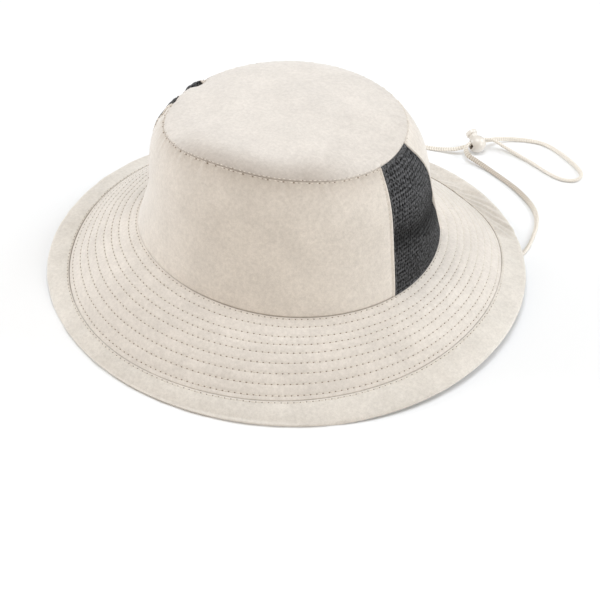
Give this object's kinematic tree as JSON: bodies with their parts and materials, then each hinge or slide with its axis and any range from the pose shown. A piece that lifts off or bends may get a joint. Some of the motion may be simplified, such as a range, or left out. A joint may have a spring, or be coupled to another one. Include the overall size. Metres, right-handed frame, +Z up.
{
  "type": "surf hat",
  "caption": "Bucket-style surf hat with a soft crown, mesh side panels, a wide stitched brim and a chin cord with a ball cord lock.",
  "frame": {"origin": "middle of the brim's outline, at the level of the floor that the brim rests on", "axes": "+Z up out of the crown, -Y towards the hat's front, +X towards the wearer's left"},
  "size_m": [0.3098, 0.3704, 0.1145],
  "materials": {
    "crown_cloth": "soft brushed microfibre, cream beige, matt",
    "brim_cloth": "two layers of soft microfibre with rows of stitching, cream beige, matt",
    "band_cloth": "plain soft microfibre, a shade darker beige, matt",
    "mesh_cloth": "charcoal knitted air mesh with small open cells",
    "cord": "flat braided polyester cord, cream",
    "lock_plastic": "pearl white moulded plastic, softly glossy"
  },
  "bodies": {
    "hat": {"crown_tip": "crown_cloth", "crown_front_panel": "crown_cloth", "crown_back_panel": "crown_cloth", "mesh_panel_left": "mesh_cloth", "mesh_panel_right": "mesh_cloth", "brim": "brim_cloth", "brim_band": "band_cloth", "chin_cord": "cord", "cord_lock_barrel": "lock_plastic"},
    "lock_button": {"cord_lock_button": "lock_plastic"}
  },
  "joints": [
    {"name": "button_press", "type": "slide", "parent": "hat", "child": "lock_button", "axis": [0.7488, -0.4679, -0.4695], "range_m": [0, 0.0022], "stiffness_N_per_m": 900, "springref_m": -0.004}
  ]
}
